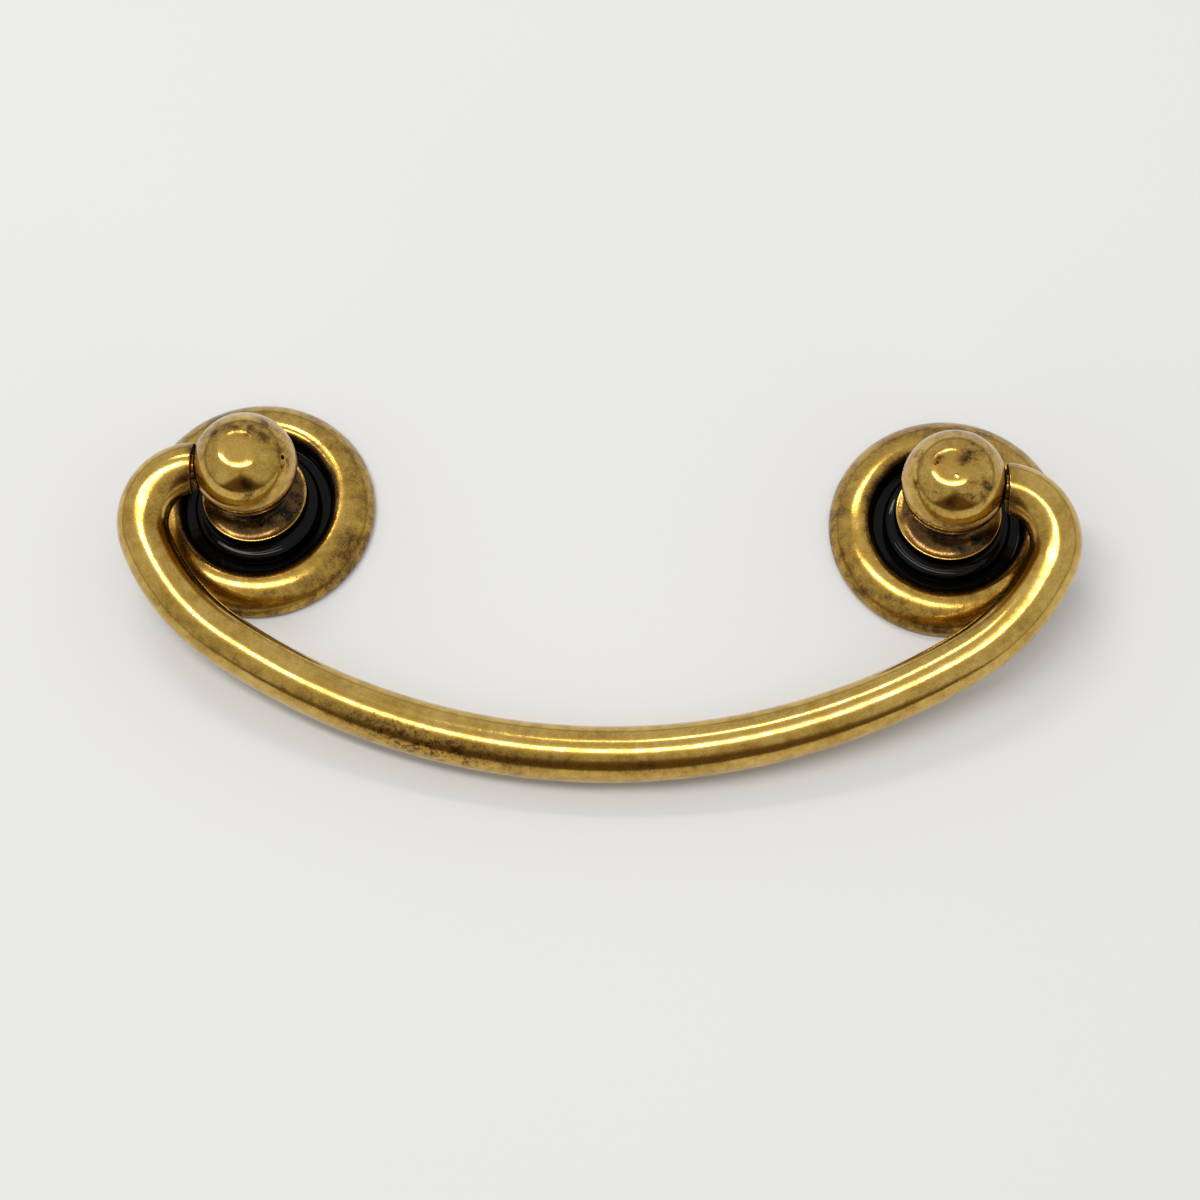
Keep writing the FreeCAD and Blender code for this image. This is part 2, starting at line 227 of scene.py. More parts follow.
def evenly_spaced(points, spacing):
    """The same outline in equal steps."""
    gaps = np.linalg.norm(np.diff(points[:, :2], axis=0), axis=1)
    kept = np.concatenate(([True], gaps > 0))
    points = points[kept]
    along = np.concatenate(([0], np.cumsum(gaps[gaps > 0])))
    places = np.linspace(0, along[-1], max(LEAST_POINTS, int(along[-1] / spacing)))
    return np.column_stack([np.interp(places, along, points[:, column]) for column in range(3)])


def softened(points, softness, closed):
    """Round every corner of an evenly spaced outline by a moving average with soft ends."""
    reach = max(1, round(SOFT_REACH * softness / OUTLINE_STEP))
    weights = np.exp(-0.5 * (np.arange(-reach, reach + 1) * OUTLINE_STEP / softness) ** 2)
    weights /= weights.sum()
    if closed:
        body = points[:-1]
        padded = np.vstack([body[-reach:], body, body[:reach]])
    else:
        mirrored = points * (-1, 1, 1)
        padded = np.vstack([mirrored[reach:0:-1], points, mirrored[-2:-reach - 2:-1]])
    return np.column_stack([np.convolve(padded[:, column], weights, "valid") for column in range(3)])


def thinned(points, tolerance):
    """Leave out the points that a straight line between their neighbours would give as well."""
    keep = np.zeros(len(points), bool)
    keep[[0, -1]] = True
    spans = [(0, len(points) - 1)]
    while spans:
        first, last = spans.pop()
        if last - first < 2:
            continue
        chord = points[last, :2] - points[first, :2]
        size = np.linalg.norm(chord)
        inner = points[first + 1:last, :2] - points[first, :2]
        if size < SHORTEST_CHORD:
            away = np.linalg.norm(inner, axis=1)
        else:
            away = np.abs(inner[:, 0] * chord[1] - inner[:, 1] * chord[0]) / size
        worst = int(away.argmax())
        bent = away[worst] > tolerance
        if bent or size > LONGEST_CHORD:
            middle = first + 1 + worst if bent else (first + last) // 2
            keep[middle] = True
            spans += [(first, middle), (middle, last)]
    return points[keep]


def finished_outline(points, softness, closed):
    """A drawn outline with its corners softened, in as few points as its bends need."""
    points = np.array(points + points[:1] if closed else points, float)
    smooth = softened(evenly_spaced(points, OUTLINE_STEP), softness, closed)
    if closed:
        return thinned(np.vstack([smooth, smooth[:1]]), THINNING)[:-1]
    smooth[[0, -1], 0] = 0
    return thinned(smooth, THINNING)


def turned_mesh(name, outline, closed, axis_x, segments):
    """Turn an outline about an upright axis into a closed mesh that carries its patina and painted light."""
    angles = np.arange(segments) * 2 * math.pi / segments
    body = outline if closed else outline[1:-1]
    rings = np.stack([
        axis_x + body[:, :1] * np.cos(angles),
        body[:, :1] * np.sin(angles),
        np.repeat(body[:, 1:2], segments, axis=1)], axis=-1)
    places = rings.reshape(-1, 3).tolist()
    patina_and_painted_light = np.repeat(body[:, 2], segments).tolist()
    ring_count = len(body)
    faces = []
    for ring in range(ring_count if closed else ring_count - 1):
        here, there = ring * segments, (ring + 1) % ring_count * segments
        for step in range(segments):
            after = (step + 1) % segments
            faces.append((here + step, here + after, there + after, there + step))
    if not closed:
        for pole, ring in ((outline[0], 0), (outline[-1], ring_count - 1)):
            tip = len(places)
            places.append((axis_x, 0, pole[1]))
            patina_and_painted_light.append(pole[2])
            for step in range(segments):
                faces.append((ring * segments + step, ring * segments + (step + 1) % segments, tip))
    mesh = bpy.data.meshes.new(name)
    mesh.from_pydata(places, [], faces)
    add_layer(mesh, "patina_and_painted_light", patina_and_painted_light)
    face_outwards(mesh)
    return mesh


def add_layer(mesh, name, values):
    """Keep one number for each vertex."""
    layer = mesh.attributes.new(name, "FLOAT", "POINT")
    layer.data.foreach_set("value", np.asarray(values, float))


def vertex_values(values, name):
    """One vector for each vertex as rows of an array."""
    rows = np.zeros(len(values) * 3)
    values.foreach_get(name, rows)
    return rows.reshape(-1, 3)


def face_outwards(mesh):
    """Turn every face of a closed mesh to look out of it."""
    work = bmesh.new()
    work.from_mesh(mesh)
    bmesh.ops.recalc_face_normals(work, faces=work.faces)
    work.to_mesh(mesh)
    work.free()


def shade(mesh, crease):
    """Smooth shading, broken where two faces meet more sharply than the crease."""
    mesh.shade_smooth()
    mesh.set_sharp_from_angle(angle=crease)


def put_in_scene(name, data):
    """An object for a mesh, curve, lamp or camera, linked to the scene."""
    made = bpy.data.objects.new(name, data)
    bpy.context.scene.collection.objects.link(made)
    return made


def final_mesh(made):
    """What an object's modifiers make of it, as a plain mesh."""
    graph = bpy.context.evaluated_depsgraph_get()
    return bpy.data.meshes.new_from_object(made.evaluated_get(graph), depsgraph=graph)


def finish_piece(piece, node, body):
    """Stand for a CAD node: ride on its body and hide the node."""
    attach(piece, body)
    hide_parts(node)


# Materials

class Nodes:
    """Short names for adding nodes to one tree."""

    def __init__(self, tree):
        self.tree = tree

    def add(self, kind, values=(), **options):
        """A node with its options set and its inputs given as {socket: value or another node's socket}."""
        made = self.tree.nodes.new(kind)
        for option, value in options.items():
            setattr(made, option, value)
        for socket, value in dict(values).items():
            if isinstance(value, bpy.types.NodeSocket):
                self.tree.links.new(value, made.inputs[socket])
            else:
                made.inputs[socket].default_value = value
        return made

    def sum(self, operation, first, second):
        made = self.add("ShaderNodeMath", {0: first, 1: second}, operation=operation)
        return made.outputs[0]

    def fade(self, value, low, high, start=0.0, end=1.0):
        """A soft step from start to end as value goes from low to high."""
        made = self.add(
            "ShaderNodeMapRange",
            {"Value": value, "From Min": low, "From Max": high, "To Min": start, "To Max": end},
            interpolation_type="SMOOTHSTEP")
        return made.outputs["Result"]

    def noise(self, place, scale, detail, roughness):
        made = self.add(
            "ShaderNodeTexNoise",
            {"Vector": place, "Scale": scale, "Detail": detail, "Roughness": roughness})
        return made.outputs["Fac"]

    def ramp(self, value, stops):
        """A colour that goes through (place, colour) stops as value rises."""
        made = self.add("ShaderNodeValToRGB", {"Fac": value})
        elements = made.color_ramp.elements
        while len(elements) < len(stops):
            elements.new(1.0)
        for element, (place, tone) in zip(elements, stops):
            element.position = place
            element.color = solid(tone)
        return made.outputs["Color"]

    def blend_value(self, factor, first, second):
        made = self.add("ShaderNodeMix", {0: factor, 2: first, 3: second}, data_type="FLOAT")
        return made.outputs[0]

    def centred(self, value, gain):
        """Turn a 0 to 1 pattern into one that goes either side of nothing by half the gain."""
        return self.sum("MULTIPLY", self.sum("SUBTRACT", value, 0.5), gain)


def solid(colour_value):
    return (*colour_value, 1.0)


# Patterns of the patina: scale, detail and roughness of each noise
BROAD = (170, 3, 0.55)
MOTTLE = (700, 6, 0.68)
GRAIN = (5200, 3, 0.6)
PATCHES = (330, 5, 0.62)
VEINS = (240, 4, 0.6)
DOTS = (1700, 4, 0.65)

# Values of a noise between which its pattern fades in or out
PATCH_EDGE = (0.56, 0.68)
VEIN_EDGE = (0.004, 0.022)
VEINED_STRETCHES = (0.46, 0.62)
DOT_EDGE = (0.47, 0.60)

# Share of the mottling that the broad and the fine pattern give
BROAD_SHARE = 0.6
GRAIN_SHARE = 0.5

# Levels of patina and painted light at which the brass has each of its colours
RUBBED_LEVEL = 0.05
TONED_LEVEL = 0.34
BROWN_LEVEL = 0.62
BLACK_LEVEL = 0.96

# Where the black turns dull, and how rough that, the grain and the lacquer are
DULL_LEVELS = (0.70, 1.0)
DULL_ROUGHNESS = 0.30
GRAIN_ROUGHNESS = 0.20
LACQUER_ROUGHNESS = 0.05

# Depth of the fine and the broad waves in the surface, and what makes up the fine ones
FINE_WAVES = 0.02 * MM
BROAD_WAVES = 0.10 * MM
MOTTLE_WAVES = 0.5
GRAIN_WAVES = 0.2


def brass_material(name, mottling, patchiness, veining, rough_bright, rough_brown, waviness):
    """Antique brass: rubbed metal over brown and black patina and painted shade, under a clear lacquer."""
    finish = settings().finish
    material = bpy.data.materials.new(name)
    material.use_nodes = True
    nodes = Nodes(material.node_tree)
    nodes.tree.nodes.clear()
    place = nodes.add("ShaderNodeTexCoord").outputs["Object"]
    patina_and_painted_light = nodes.add("ShaderNodeAttribute", attribute_name="patina_and_painted_light").outputs["Fac"]
    specks = nodes.add("ShaderNodeAttribute", attribute_name="specks").outputs["Fac"]

    broad = nodes.noise(place, *BROAD)
    mottle = nodes.noise(place, *MOTTLE)
    grain = nodes.noise(place, *GRAIN)
    patches = nodes.fade(nodes.noise(place, *PATCHES), *PATCH_EDGE, 0.0, patchiness)
    vein = nodes.sum("ABSOLUTE", nodes.centred(nodes.noise(place, *VEINS), 1.0), 0.0)
    veins = nodes.sum(
        "MULTIPLY", nodes.fade(vein, *VEIN_EDGE, veining, 0.0), nodes.fade(broad, *VEINED_STRETCHES))
    level = nodes.sum("ADD", patina_and_painted_light, nodes.centred(broad, BROAD_SHARE * mottling))
    level = nodes.sum("ADD", level, nodes.centred(mottle, mottling))
    level = nodes.sum("ADD", level, nodes.centred(grain, GRAIN_SHARE * mottling))
    level = nodes.sum("ADD", level, nodes.sum("ADD", patches, veins))
    dots = nodes.fade(nodes.noise(place, *DOTS), *DOT_EDGE)
    level = nodes.sum("ADD", level, nodes.sum("MULTIPLY", dots, specks))
    base = nodes.ramp(level, (
        (RUBBED_LEVEL, finish.rubbed),
        (TONED_LEVEL, finish.toned),
        (BROWN_LEVEL, finish.brown),
        (BLACK_LEVEL, finish.black)))
    rough = nodes.fade(level, RUBBED_LEVEL, BROWN_LEVEL, rough_bright, rough_brown)
    rough = nodes.sum("ADD", rough, nodes.fade(level, *DULL_LEVELS, 0.0, DULL_ROUGHNESS))
    rough = nodes.sum("ADD", rough, nodes.centred(grain, GRAIN_ROUGHNESS))

    height = nodes.sum(
        "ADD", nodes.sum("MULTIPLY", mottle, MOTTLE_WAVES), nodes.sum("MULTIPLY", grain, GRAIN_WAVES))
    fine = nodes.add("ShaderNodeBump", {"Strength": waviness, "Distance": FINE_WAVES, "Height": height})
    wide = nodes.add(
        "ShaderNodeBump",
        {"Strength": waviness, "Distance": BROAD_WAVES, "Height": broad, "Normal": fine.outputs["Normal"]})

    shader = nodes.add("ShaderNodeBsdfPrincipled", {
        "Base Color": base,
        "Metallic": 1.0,
        "Roughness": rough,
        "Normal": wide.outputs["Normal"],
        "Coat Weight": finish.lacquer,
        "Coat Roughness": LACQUER_ROUGHNESS,
    })
    output = nodes.add("ShaderNodeOutputMaterial")
    nodes.tree.links.new(shader.outputs["BSDF"], output.inputs["Surface"])
    return material


# Rosettes

def rosette_outline(sizes):
    """Section of the pressed sheet, from its hole along the back, round the rim and back over the front."""
    inner = Vector((sizes.dish + sizes.roll, sizes.height - sizes.roll))
    edge = Vector((sizes.radius - sizes.edge, sizes.edge))
    across = edge.x - inner.x
    slow_roll = across ** 2 / (2 * (sizes.height - 2 * sizes.edge)) + sizes.height / 2
    outer = Vector((inner.x, sizes.height - slow_roll))
    edge_turn = math.degrees(math.atan2(edge.y - outer.y, across))
    channel_top = sizes.height - sizes.sheet
    channel_end = edge.x - sizes.land
    channel = ((channel_end - inner.x) ** 2 + channel_top ** 2) / (2 * channel_top)
    channel_axis = Vector((inner.x, channel_top - channel))
    channel_turn = math.degrees(math.atan2(-channel_axis.y, channel_end - inner.x))
    return [
        *run((sizes.hole, 0), (inner.x - sizes.roll + sizes.sheet, 0), patina_and_painted_light=HIDDEN_TONE),
        *arc(inner, sizes.roll - sizes.sheet, 180, 90, HIDDEN_TONE),
        *arc(channel_axis, channel, 90, channel_turn, HIDDEN_TONE),
        # Darker under the rim and on the outer slope than on the crest
        *arc(edge, sizes.edge, -90, 0, (0.60, 0.45)),
        *arc(edge, sizes.edge, 0, edge_turn, (0.45, 0.36)),
        *arc(outer, slow_roll, edge_turn, 60, (0.45, 0.38)),
        *arc(outer, slow_roll, 60, 82, (0.38, 0.29)),
        *arc(outer, slow_roll, 82, 90, (0.29, 0.32)),
        *arc(inner, sizes.roll, 90, 112, (0.32, 0.62)),
        *arc(inner, sizes.roll, 112, 135, (0.62, 0.95)),
        *arc(inner, sizes.roll, 135, 150, (0.95, 1.15)),
        *arc(inner, sizes.roll, 150, 180, 1.2),
        *run((sizes.dish, sizes.sheet), (sizes.hole, sizes.sheet), patina_and_painted_light=BLACKENED),
    ]


class BAILPULL_OT_rosettes(bpy.types.Operator):
    """Press the two rosettes"""
    bl_idname = "bailpull.rosettes"
    bl_label = "Make rosettes"

    def execute(self, context):
        sizes = settings().rosettes
        outline = finished_outline(rosette_outline(sizes), sizes.softness, True)
        metal = brass_material(
            "rosette brass", mottling=1.05, patchiness=0.14, veining=0.0,
            rough_bright=0.13, rough_brown=0.26, waviness=0.6)
        for side, turn in zip(SIDES, (-1, 1)):
            mesh = turned_mesh(f"{side} rosette", outline, True, turn * POST_AXIS, LATHE_SEGMENTS)
            mesh.materials.append(metal)
            shade(mesh, CREASE)
            piece = put_in_scene(f"{side}_rosette_pressed", mesh)
            finish_piece(piece, f"{side}_rosette", "posts")
        return {"FINISHED"}


# Posts

def post_outline(sizes):
    """Section of the turned post, from the point of its screw hole, round the foot and up over the ball."""
    sheet = settings().rosettes.sheet
    foot_axis = sizes.foot - sizes.foot_edge
    foot_top = sheet + 2 * sizes.foot_edge
    collar_under = foot_top + sizes.scotia_height
    collar_top = collar_under + sizes.collar_edge
    cove = sizes.collar - sizes.neck
    cove_axis = (sizes.collar, collar_top + cove)
    ball_height = POST_BOX[1].z - sizes.ball
    ball_start = -math.degrees(math.acos(sizes.neck / sizes.ball))

    chord = Vector((sizes.collar - foot_axis, sizes.scotia_height))
    scotia = (chord.length_squared / 4 + sizes.scotia_depth ** 2) / (2 * sizes.scotia_depth)
    outwards = Vector((chord.y, -chord.x)).normalized()
    scotia_axis = Vector((foot_axis, foot_top)) + chord / 2 + outwards * (scotia - sizes.scotia_depth)
    first = math.degrees(math.atan2(foot_top - scotia_axis.y, foot_axis - scotia_axis.x)) % 360
    last = math.degrees(math.atan2(collar_under - scotia_axis.y, sizes.collar - scotia_axis.x)) % 360
    return [
        *run((0, sizes.bore_depth + sizes.bore_point), (sizes.bore, sizes.bore_depth), patina_and_painted_light=HIDDEN_TONE),
        *run((sizes.bore, 0), (sizes.spigot, 0), (sizes.spigot, sheet), patina_and_painted_light=HIDDEN_TONE),
        *arc((foot_axis, sheet + sizes.foot_edge), sizes.foot_edge, -90, 90, BLACKENED),
        *arc(scotia_axis, scotia, first, last, BLACKENED),
        *run((sizes.collar, collar_under), patina_and_painted_light=0.7),
        # The collar's edge is rubbed bright: a worn edge that also paints the highlight along the rim
        *run((sizes.collar, collar_under + sizes.collar_edge / 2), (sizes.collar, collar_top), patina_and_painted_light=0.0),
        # From the collar's edge up into the ball the tone is patina in the hollow, deepened as painted shade
        # in the cove, round the neck and under the ball
        *arc(cove_axis, cove, -90, -97, (0.1, 0.66)),
        *arc(cove_axis, cove, -97, -140, (0.66, 0.78)),
        *arc(cove_axis, cove, -140, -180, (0.78, 0.92)),
        *run((sizes.neck, collar_top + cove + sizes.neck_length), patina_and_painted_light=0.85),
        *arc((0, ball_height), sizes.ball, ball_start, -30, (0.85, 0.30)),
        *arc((0, ball_height), sizes.ball, -30, 90, (0.30, 0.20)),
    ]


# Casting pits on each ball, and brown smudges with their reach and depth of tone. Places and reaches are in
# millimetres, from the foot of each post's axis.
PITS = {
    "left": ((4.54, -0.59, 15.72),),
    "right": ((-2.29, -0.14, 17.59), (-0.20, -1.68, 17.81)),
}
SMUDGES = {
    "left": (
        (-1.14, 1.91, 17.60, 0.8, 0.40),
        (-2.84, 1.44, 17.07, 0.7, 0.36),
        (2.52, 0.96, 17.40, 0.8, 0.40),
        (4.15, 0.19, 16.26, 0.7, 0.30),
        (0.94, -4.00, 16.31, 0.6, 0.30)),
    "right": (
        (0.50, -0.04, 18.06, 0.8, 0.50),
        (-1.90, 0.20, 17.70, 0.7, 0.45),
        (1.40, 0.90, 17.80, 0.7, 0.36),
        (3.20, -2.00, 16.70, 0.8, 0.32),
        (-0.70, -4.20, 16.10, 0.7, 0.34)),
}

# Which way the worn flat of each ball looks
CROWNS = {"left": (-0.02, -0.13, 0.99), "right": (-0.13, -0.13, 0.98)}


def worn_flat(places, middle, side, sizes):
    """The same places with those on top of a ball pressed down to its worn flat, which has a soft edge."""
    way = Vector(CROWNS[side]).normalized()
    depth = math.sqrt(sizes.ball ** 2 - sizes.crown ** 2)
    out = (places - np.array(middle)) @ np.array(way)
    share_out = np.clip(0.5 + 0.5 * (depth - out) / sizes.crown_blend, 0, 1)
    soft = depth + (out - depth) * share_out - sizes.crown_blend * share_out * (1 - share_out)
    return places + np.outer(np.where(out > 0, soft - out, 0), np.array(way))


def smudge(mesh, axis_x, marks):
    """Tone the mesh down round each of these places."""
    places = vertex_values(mesh.vertices, "co") / MM - (axis_x / MM, 0, 0)
    layer = mesh.attributes["patina_and_painted_light"].data
    tones = np.zeros(len(layer))
    layer.foreach_get("value", tones)
    for x, y, z, reach, depth in marks:
        away = np.linalg.norm(places - (x, y, z), axis=1)
        tones += depth * np.exp(-(away / reach) ** 2)
    layer.foreach_set("value", tones)


DRILL_SIDES = 64


def drill(piece, start, end, radius):
    """Cut a round hole from one point to another."""
    middle, way = (start + end) / 2, end - start
    half_step = Matrix.Rotation(math.pi / DRILL_SIDES, 4, "Z")
    work = bmesh.new()
    bmesh.ops.create_cone(
        work, cap_ends=True, segments=DRILL_SIDES, radius1=radius, radius2=radius, depth=way.length,
        matrix=Matrix.Translation(middle) @ way.to_track_quat("Z", "Y").to_matrix().to_4x4() @ half_step)
    mesh = bpy.data.meshes.new("drill")
    work.to_mesh(mesh)
    work.free()
    add_layer(mesh, "patina_and_painted_light", [BLACKENED] * len(mesh.vertices))
    bit = put_in_scene("drill", mesh)
    cut = piece.modifiers.new("drilled", "BOOLEAN")
    cut.object = bit
    cut.operation = "DIFFERENCE"
    cut.solver = "EXACT"
    drilled = final_mesh(piece)
    piece.modifiers.clear()
    piece.data = drilled
    bpy.data.objects.remove(bit)


class BAILPULL_OT_posts(bpy.types.Operator):
    """Turn the two posts and drill their cross holes"""
    bl_idname = "bailpull.posts"
    bl_label = "Make posts"

    def execute(self, context):
        sizes = settings().posts
        outline = finished_outline(post_outline(sizes), sizes.softness, False)
        metal = brass_material(
            "post brass", mottling=1.0, patchiness=0.30, veining=0.18,
            rough_bright=0.10, rough_brown=0.24, waviness=0.5)
        for side, turn in zip(SIDES, (-1, 1)):
            mesh = turned_mesh(f"{side} post", outline, False, turn * sizes.axis, LATHE_SEGMENTS)
            mesh.materials.append(metal)
            smudge(mesh, turn * sizes.axis, SMUDGES[side])
            middle = Vector((turn * sizes.axis, 0, POST_BOX[1].z - sizes.ball))
            places = worn_flat(vertex_values(mesh.vertices, "co"), middle, side, sizes)
            mesh.vertices.foreach_set("co", places.ravel())
            piece = put_in_scene(f"{side}_post_turned", mesh)
            start = Vector((turn * (sizes.axis + sizes.pin_hole_floor), 0, PIVOT_HEIGHT))
            end = Vector((turn * (sizes.axis + 2 * sizes.ball), 0, PIVOT_HEIGHT))
            drill(piece, start, end, sizes.pin_hole)
            pits = np.array(PITS[side]) * MM + (turn * sizes.axis, 0, 0)
            for place in worn_flat(pits, middle, side, sizes):
                place = Vector(place)
                out = (place - middle).normalized()
                drill(piece, place - out * 2 * sizes.pit, place + out * sizes.ball, sizes.pit)
            shade(piece.data, CREASE)
            finish_piece(piece, f"{side}_post", "posts")
        return {"FINISHED"}


# Bail

class BailPath:
    """Middle line of the right half of the bail in its plane: a bow, a shoulder bend and an end bend."""

    def __init__(self, sizes):
        self.shoulder_x = POST_AXIS + settings().posts.ball + sizes.shoulder_gap
        bend_x = self.shoulder_x - sizes.facing
        heading = math.pi - sizes.end_turn
        end_axis = Vector((bend_x, sizes.end_bend))
        shoulder_axis = end_axis - self.way(heading) * (sizes.shoulder_bend - sizes.end_bend)
        rise = sizes.reach - shoulder_axis.y
        flatness = 2 * (rise - sizes.shoulder_bend)
        bow = (shoulder_axis.x ** 2 + rise ** 2 - sizes.shoulder_bend ** 2) / flatness
        bow_axis = Vector((0, sizes.reach - bow))
        bow_end = math.atan2(shoulder_axis.x, shoulder_axis.y - bow_axis.y)
        face = math.pi - math.asin((self.shoulder_x - bend_x) / sizes.end_bend)
        self.pieces = (
            (bow_axis, bow, 0, bow_end),
            (shoulder_axis, sizes.shoulder_bend, bow_end, heading),
            (end_axis, sizes.end_bend, heading, face),
        )
        self.length = sum(radius * (last - first) for axis, radius, first, last in self.pieces)

    @staticmethod
    def way(heading):
        return Vector((math.sin(heading), math.cos(heading)))

    def points(self, spacing):
        """Places along the middle line with the distance to each, from mid-grip to the shoulder."""
        found, walked = [], 0.0
        for axis, radius, first, last in self.pieces:
            steps = math.ceil(radius * (last - first) / spacing)
            for step in range(1 if found else 0, steps + 1):
                turn = first + (last - first) * step / steps
                found.append((axis + self.way(turn) * radius, walked + radius * (turn - first)))
            walked += radius * (last - first)
        return found


ROD_SPACING = 0.35 * MM
STEP_WIDTH = 0.02 * MM
EDGE_STEPS = 6


def rod_points(sizes):
    """(x, y, radius) along the right half of the bail, from the middle of the grip to the pin's end."""
    path = BailPath(sizes)
    along = path.points(ROD_SPACING)
    edge_start = path.length - sizes.shoulder_edge
    points = []
    for place, walked in along:
        if walked < edge_start:
            taper = sizes.grip + (sizes.end - sizes.grip) * walked / path.length
            points.append((place.x, place.y, taper))
    last = along[-1][0]
    for step in range(EDGE_STEPS + 1):
        turn = math.pi / 2 * step / EDGE_STEPS
        drop = sizes.shoulder_edge * (1 - math.cos(turn))
        out = sizes.shoulder_edge * (1 - math.sin(turn))
        points.append((path.shoulder_x + out, last.y * (1 + out / sizes.shoulder_edge), sizes.end - drop))
    tip = path.shoulder_x - sizes.pin_length
    points.append((path.shoulder_x - STEP_WIDTH, 0, sizes.pin))
    points.append((path.shoulder_x - sizes.pin_length / 2, 0, sizes.pin))
    points.append((tip + sizes.pin_chamfer, 0, sizes.pin))
    points.append((tip, 0, sizes.pin - sizes.pin_chamfer))
    return points, path


def bail_curve(sizes):
    """The whole middle line as a curve at its resting place, each point with the rod's radius there."""
    half, path = rod_points(sizes)
    whole = [(-x, y, radius) for x, y, radius in half[:0:-1]] + half
    rest = math.asin((PIVOT_HEIGHT - (BAIL_BOX[0].z - FLOOR_HEIGHT) - sizes.grip) / sizes.reach)
    curve = bpy.data.curves.new("bail path", "CURVE")
    curve.dimensions = "3D"
    spline = curve.splines.new("POLY")
    spline.points.add(len(whole) - 1)
    for point, (x, y, radius) in zip(spline.points, whole):
        point.co = (x, -y * math.cos(rest), PIVOT_HEIGHT - y * math.sin(rest), 1)
        point.radius = radius
    return curve, path


def rod_tree(metal):
    """Geometry Nodes that sweep a circle along a curve, by the curve's own radius, and square its ends."""
    tree = bpy.data.node_groups.new("bail rod", "GeometryNodeTree")
    nodes = Nodes(tree)
    for name, kind in (("Path", "Geometry"), ("Sides", "Int"), ("Shoulder", "Float"), ("Squaring", "Float")):
        tree.interface.new_socket(name, in_out="INPUT", socket_type=f"NodeSocket{kind}")
    tree.interface.new_socket("Rod", in_out="OUTPUT", socket_type="NodeSocketGeometry")
    given = nodes.add("NodeGroupInput").outputs

    position = nodes.add("GeometryNodeInputPosition").outputs[0]
    captured = nodes.add("GeometryNodeCaptureAttribute", {"Geometry": given["Path"]}, domain="POINT")
    captured.capture_items.new("VECTOR", "Middle")
    tree.links.new(position, captured.inputs["Middle"])
    ring = nodes.add("GeometryNodeCurvePrimitiveCircle", {"Resolution": given["Sides"], "Radius": 1.0})
    radius = nodes.add("GeometryNodeInputRadius").outputs[0]
    swept = nodes.add("GeometryNodeCurveToMesh", {
        "Curve": captured.outputs["Geometry"],
        "Profile Curve": ring.outputs["Curve"],
        "Scale": radius,
        "Fill Caps": True})

    middle = nodes.add("ShaderNodeSeparateXYZ", {0: captured.outputs["Middle"]}).outputs
    here = nodes.add("ShaderNodeSeparateXYZ", {0: position}).outputs
    beyond = nodes.sum("SUBTRACT", nodes.sum("ABSOLUTE", middle["X"], 0.0), given["Shoulder"])
    square = nodes.fade(beyond, 0.0, given["Squaring"], 1.0, 0.0)
    below = nodes.sum("LESS_THAN", middle["Y"], -2 * settings().bail.end)
    square = nodes.blend_value(below, square, 0.0)
    straight = nodes.blend_value(square, here["X"], middle["X"])
    moved = nodes.add("ShaderNodeCombineXYZ", {"X": straight, "Y": here["Y"], "Z": here["Z"]})
    squared = nodes.add(
        "GeometryNodeSetPosition", {"Geometry": swept.outputs["Mesh"], "Position": moved.outputs[0]})
    rounded = nodes.add("GeometryNodeSetShadeSmooth", {"Geometry": squared.outputs["Geometry"]})
    realized = nodes.add("GeometryNodeRealizeInstances", {"Geometry": rounded.outputs["Geometry"]})
    dressed = nodes.add(
        "GeometryNodeSetMaterial", {"Geometry": realized.outputs["Geometry"], "Material": metal})
    nodes.add("NodeGroupOutput", {"Rod": dressed.outputs["Geometry"]})
    return tree


def socket_name(tree, name):
    """The identifier of one of a tree's inputs."""
    for item in tree.interface.items_tree:
        if item.name == name and item.in_out == "INPUT":
            return item.identifier
    raise RuntimeError(f"the tree has no input named {name}")


class BAILPULL_OT_bail(bpy.types.Operator):
    """Bend the bail, square its ends and turn its pins"""
    bl_idname = "bailpull.bail"
    bl_label = "Make bail"

    def execute(self, context):
        sizes = settings().bail
        metal = brass_material(
            "bail brass", mottling=0.85, patchiness=0.08, veining=0.0,
            rough_bright=0.14, rough_brown=0.27, waviness=0.6)
        curve, path = bail_curve(sizes)
        guide = put_in_scene("bail path", curve)
        tree = rod_tree(metal)
        sweep = guide.modifiers.new("rod", "NODES")
        sweep.node_group = tree
        sweep[socket_name(tree, "Sides")] = sizes.sides
        sweep[socket_name(tree, "Shoulder")] = path.shoulder_x
        sweep[socket_name(tree, "Squaring")] = sizes.squaring
        mesh = final_mesh(guide)
        bpy.data.objects.remove(guide)
        face_outwards(mesh)
        add_layer(mesh, "patina_and_painted_light", bail_patina_and_painted_light(mesh, path, sizes))
        add_layer(mesh, "specks", marked(mesh, *SPECKED))
        shade(mesh, CREASE)
        finish_piece(put_in_scene("bail_bent", mesh), "bail", "bail")
        return {"FINISHED"}


# Tone of the bail: patina all over, darker at the ends and inside the end bends, and how far the darker ends
# reach from the shoulders and the pivot
GRIP_TONE = 0.17
END_TONE = 0.24
BEND_TONE = 0.20
END_REACH = 2.5 * MM
PIVOT_REACH = 4.0 * MM
PIVOT_BLEND = 1.5 * MM

# Two marked stretches of the bail: real specks on a worn patch, and a painted dark reflection along the side
# of the grip that faces the viewer. Each gives x of the middle, reach along x, side that it faces,
# narrowness and depth of tone
SPECKED = (-17.0 * MM, 8.0 * MM, (0, -0.86, 0.50), 2, 0.31)
# Painted dark reflection: a brown stripe along the grip's flank that faces the viewer
PAINTED_DARK_REFLECTION = (-15.0 * MM, 33.0 * MM, (0, -0.66, 0.75), 10, 0.33)


